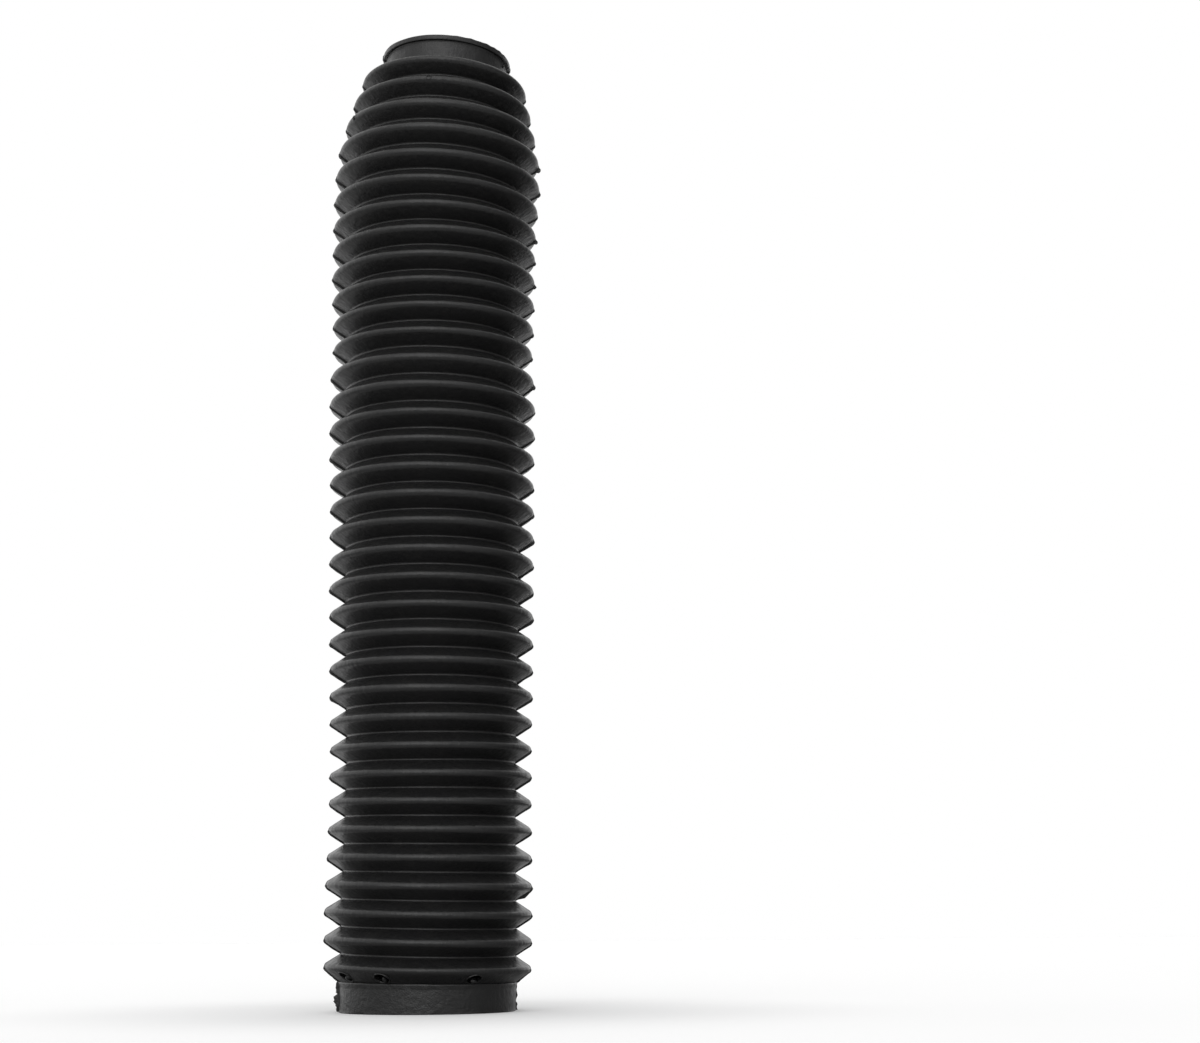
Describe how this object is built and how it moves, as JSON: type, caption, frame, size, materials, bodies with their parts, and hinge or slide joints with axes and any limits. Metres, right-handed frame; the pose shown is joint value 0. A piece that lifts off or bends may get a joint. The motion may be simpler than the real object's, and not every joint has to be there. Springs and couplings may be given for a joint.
{
  "type": "fork gaiter",
  "caption": "Black rubber bellows with rounded folds, a wide plain cuff, a narrow lipped neck and breather holes, to cover a telescopic fork tube.",
  "frame": {"origin": "centre of the wide cuff's rim, where the gaiter stands", "axes": "+Z along the fork tube towards the narrow neck, -Y towards the breather holes, +X the way the neck leans"},
  "size_m": [0.0925, 0.092, 0.4321],
  "materials": {
    "black_rubber": "semi-matte moulded rubber"
  },
  "bodies": {
    "root": {"rubber_bellows": "black_rubber"}
  },
  "joints": []
}
